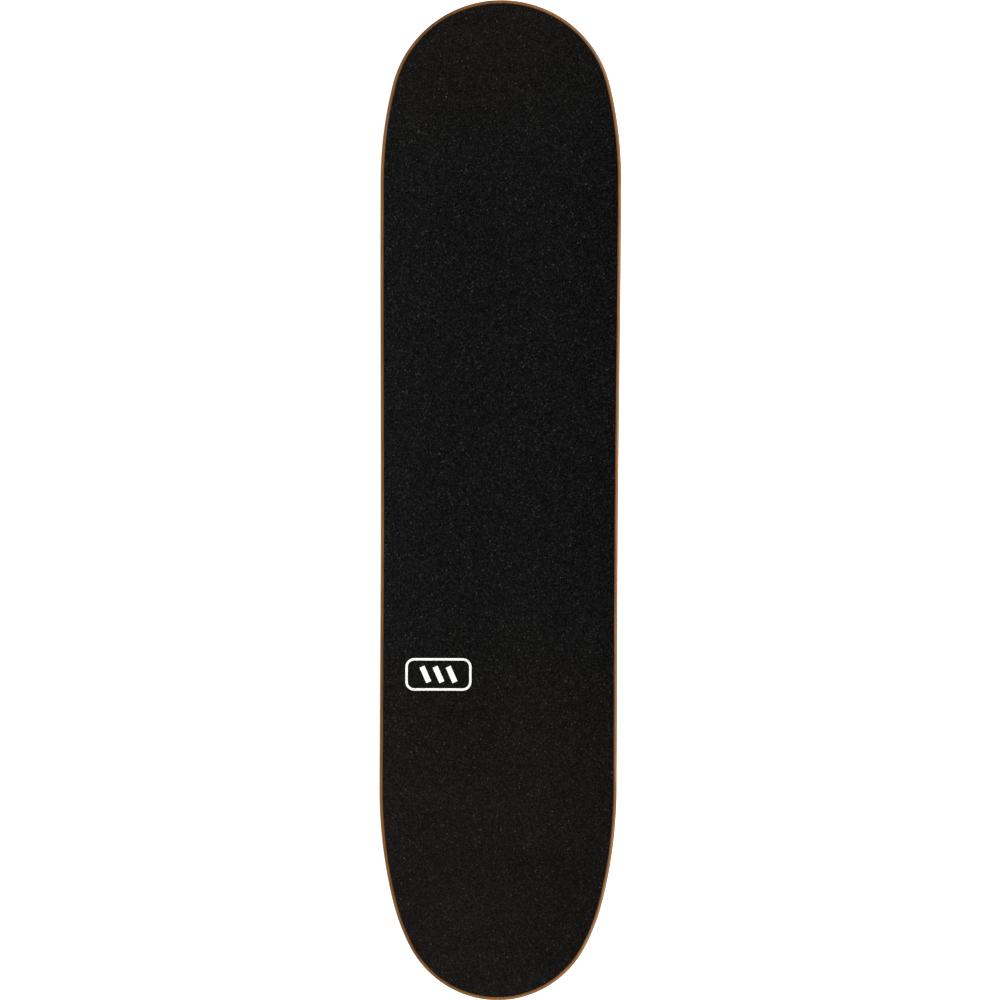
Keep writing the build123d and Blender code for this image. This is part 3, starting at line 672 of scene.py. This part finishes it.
# ---- studio ----
def build_floor():
    """A pale floor just under the wheels, clear from below so that the underside can be looked at."""
    half_size = 15
    gap = 0.5 * MM
    bm = bmesh.new()
    bmesh.ops.create_grid(bm, x_segments=1, y_segments=1, size=half_size)
    mesh = bpy.data.meshes.new("floor")
    bm.to_mesh(mesh)
    bm.free()
    material, nodes = new_material("pale studio floor")
    paper = add(nodes, "ShaderNodeBsdfPrincipled",
                {"Base Color": linear("#F4F4F4"), "Roughness": 0.9, "Specular IOR Level": 0.1,
                 "Emission Color": (1, 1, 1, 1), "Emission Strength": 0.55})
    clear = add(nodes, "ShaderNodeBsdfTransparent")
    side = add(nodes, "ShaderNodeNewGeometry").outputs["Backfacing"]
    shown = add(nodes, "ShaderNodeMixShader", links={0: side, 1: paper.outputs[0], 2: clear.outputs[0]})
    add(nodes, "ShaderNodeOutputMaterial", links={"Surface": shown.outputs[0]})
    mesh.materials.append(material)
    floor = bpy.data.objects.new("floor", mesh)
    floor.location.z = -gap
    bpy.context.scene.collection.objects.link(floor)


def add_light(name, place, size, power):
    """A round soft light that faces the middle of the board."""
    lamp = bpy.data.lights.new(name, "AREA")
    lamp.shape = "DISK"
    lamp.size = size
    lamp.energy = power
    light = bpy.data.objects.new(name, lamp)
    light.location = place
    light.rotation_euler = (-Vector(place)).to_track_quat("-Z", "Y").to_euler()
    bpy.context.scene.collection.objects.link(light)


def build_studio():
    build_floor()
    add_light("key_light", place=(0.3, -2.1, 2.2), size=1.6, power=90)
    add_light("fill_light", place=(-0.6, 2.2, 1.8), size=2.4, power=12)
    add_light("tail_light", place=(-2.4, -0.3, 1.6), size=1.8, power=24)
    world = bpy.data.worlds.new("studio")
    world.use_nodes = True
    background = world.node_tree.nodes["Background"]
    background.inputs["Color"].default_value = (1, 1, 1, 1)
    background.inputs["Strength"].default_value = 0.55
    bpy.context.scene.world = world
    bpy.context.scene.view_settings.view_transform = "Standard"


def build_camera():
    """Straight above the deck, with the nose at the top of the picture."""
    distance = 5.0
    seen_width = 0.8033
    roll = radians(0.27)
    off_centre = 0.4 * MM
    rim_height = DECK_BOTTOM + DECK_THICKNESS + 5 * MM
    lens = bpy.data.cameras.new("camera")
    lens.lens = lens.sensor_width * distance / seen_width
    camera = bpy.data.objects.new("camera", lens)
    camera.location = (off_centre, -off_centre, rim_height + distance)
    camera.rotation_euler = (0, 0, roll - pi / 2)
    bpy.context.scene.collection.objects.link(camera)
    bpy.context.scene.camera = camera


dress_cad_nodes()
build_plies()
build_grip()
build_badge()
for end in ENDS:
    casting(end, "hanger", f"{end}_hanger", voxel=0.62 * MM)
    casting(end, "baseplate", "deck", voxel=0.56 * MM)
    build_bushings(end)
    build_nut_inserts(end)
    for side in SIDES:
        build_wheel(end, side)
build_studio()
build_camera()
